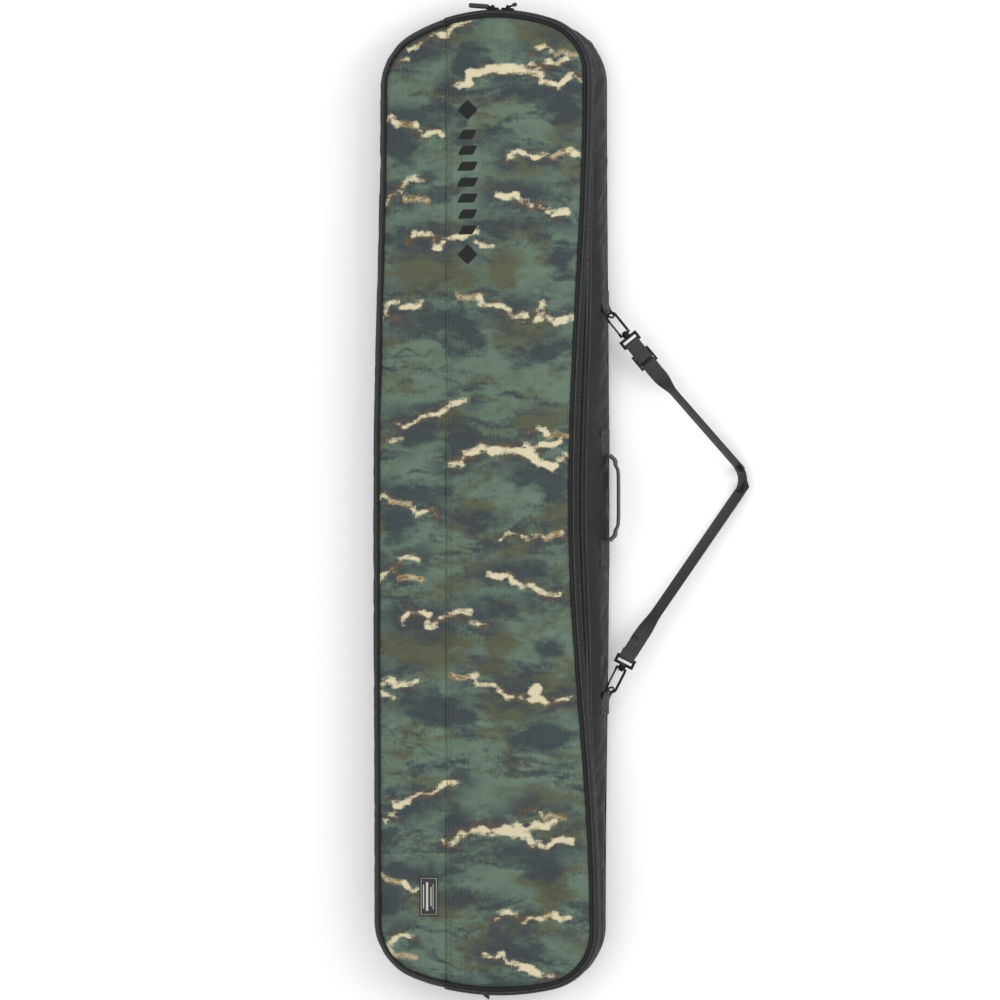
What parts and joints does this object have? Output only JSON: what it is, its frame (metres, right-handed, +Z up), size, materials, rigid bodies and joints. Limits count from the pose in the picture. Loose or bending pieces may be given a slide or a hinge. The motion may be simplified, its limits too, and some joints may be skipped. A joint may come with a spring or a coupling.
{
  "type": "snowboard bag",
  "caption": "Long padded bag lying on its back: printed front with a zipped fold-back flap, walls, grab handle, and a shoulder strap clipped to rings with snap hooks.",
  "frame": {"origin": "on the floor under the middle of the back panel, bag lying on its back", "axes": "+X to the strap and handle side, +Y along the bag to the end where the sliders are parked, +Z up through the printed front"},
  "size_m": [0.61, 1.6311, 0.0966],
  "materials": {
    "camo_canvas": "woven, printed",
    "wall_canvas": "woven, matt",
    "foam": "matt closed-cell foam",
    "lining_cloth": "plain woven, slight sheen",
    "piping_cord": "ribbed tape over cord",
    "zip_tape": "woven tape",
    "zip_coil": "satin nylon coil",
    "label_weave": "woven damask",
    "webbing": "ribbed polyester webbing",
    "black_metal": "satin black coating",
    "pull_cord": "soft matt tube"
  },
  "bodies": {
    "bag": {"back_panel": "wall_canvas", "back_padding": "foam", "back_lining": "lining_cloth", "back_piping": "piping_cord", "strap_side_wall": "wall_canvas", "strap_side_foam": "foam", "strap_side_lining": "lining_cloth", "hinge_side_wall": "wall_canvas", "hinge_side_foam": "foam", "hinge_side_lining": "lining_cloth", "front_panel_narrow": "camo_canvas", "front_padding_narrow": "foam", "front_lining_narrow": "lining_cloth", "front_piping_fixed": "piping_cord", "seam_binding": "zip_tape", "woven_label": "label_weave", "zip_tape_lower": "zip_tape", "zip_coil_lower": "zip_coil", "zip_end_tab": "webbing", "handle_sewn_ends": "webbing", "ring_tab_upper": "webbing", "ring_tab_lower": "webbing"},
    "flap": {"front_panel_wide": "camo_canvas", "front_padding_wide": "foam", "front_lining_wide": "lining_cloth", "front_piping_flap": "piping_cord", "flap_wall_strip": "wall_canvas", "zip_tape_upper": "zip_tape", "zip_coil_upper": "zip_coil"},
    "left_slider": {"slider_left": "black_metal"},
    "right_slider": {"slider_right": "black_metal"},
    "left_pull": {"pull_left": "black_metal", "pull_tube_left": "pull_cord"},
    "right_pull": {"pull_right": "black_metal", "pull_loop_right": "pull_cord"},
    "handle": {"grab_handle": "webbing"},
    "upper_ring": {"ring_upper": "black_metal"},
    "lower_ring": {"ring_lower": "black_metal"},
    "strap": {"strap_webbing": "webbing", "strap_adjuster_loop": "webbing", "strap_buckle": "black_metal", "hook_eye_upper": "black_metal", "hook_eye_lower": "black_metal"},
    "upper_hook": {"hook_body_upper": "black_metal"},
    "lower_hook": {"hook_body_lower": "black_metal"},
    "upper_gate": {"hook_gate_upper": "black_metal"},
    "lower_gate": {"hook_gate_lower": "black_metal"}
  },
  "joints": [
    {"name": "flap_fold", "type": "hinge", "parent": "bag", "child": "flap", "pos_m": [-0.064, 0, 0.096], "axis": [0, -1, 0], "range_deg": [0, 170]},
    {"name": "left_slider_travel", "type": "hinge", "parent": "bag", "child": "left_slider", "pos_m": [0.014, 0.5196, 0.08], "axis": [0, 0, 1], "range_deg": [0, 6]},
    {"name": "right_slider_travel", "type": "hinge", "parent": "bag", "child": "right_slider", "pos_m": [0.014, 0.5196, 0.08], "axis": [0, 0, 1], "range_deg": [-13, 0]},
    {"name": "left_pull_swing", "type": "hinge", "parent": "left_slider", "child": "left_pull", "pos_m": [0.01197, 0.81054, 0.08], "axis": [0, 0, 1], "range_deg": [-110, 3]},
    {"name": "right_pull_swing", "type": "hinge", "parent": "right_slider", "child": "right_pull", "pos_m": [0.03733, 0.80961, 0.08], "axis": [0, 0, 1], "range_deg": [-18, 70]},
    {"name": "handle_lift", "type": "hinge", "parent": "bag", "child": "handle", "pos_m": [0.1905, 0, 0.0454], "axis": [0, -1, 0], "range_deg": [-8, 40], "stiffness_Nm_per_rad": 0.06},
    {"name": "upper_ring_turn", "type": "hinge", "parent": "bag", "child": "upper_ring", "pos_m": [0.19377, 0.3156, 0.04826], "axis": [-0.4619, 0, 0.8869], "range_deg": [-1, 1]},
    {"name": "lower_ring_turn", "type": "hinge", "parent": "bag", "child": "lower_ring", "pos_m": [0.19377, -0.3156, 0.04826], "axis": [-0.4619, 0, 0.8869], "range_deg": [-1, 1]},
    {"name": "strap_swing", "type": "hinge", "parent": "bag", "child": "strap", "pos_m": [0.20463, 0, 0.05392], "axis": [0, -1, 0], "range_deg": [0, 75]},
    {"name": "upper_hook_swivel", "type": "hinge", "parent": "strap", "child": "upper_hook", "pos_m": [0.22502, 0.27635, 0.04998], "axis": [0.6179, -0.7771, -0.1195], "range_deg": [-4, 4]},
    {"name": "lower_hook_swivel", "type": "hinge", "parent": "strap", "child": "lower_hook", "pos_m": [0.21934, -0.2726, 0.05108], "axis": [0.4457, 0.891, -0.0862], "range_deg": [-4, 4]},
    {"name": "upper_gate_press", "type": "hinge", "parent": "upper_hook", "child": "upper_gate", "pos_m": [0.21791, 0.27306, 0.05135], "axis": [-0.1899, 0, -0.9818], "range_deg": [0, 12], "stiffness_Nm_per_rad": 0.02, "springref_deg": -11.46},
    {"name": "lower_gate_press", "type": "hinge", "parent": "lower_hook", "child": "lower_gate", "pos_m": [0.21171, -0.27088, 0.05255], "axis": [0.1899, 0, 0.9818], "range_deg": [0, 12], "stiffness_Nm_per_rad": 0.02, "springref_deg": -11.46}
  ]
}
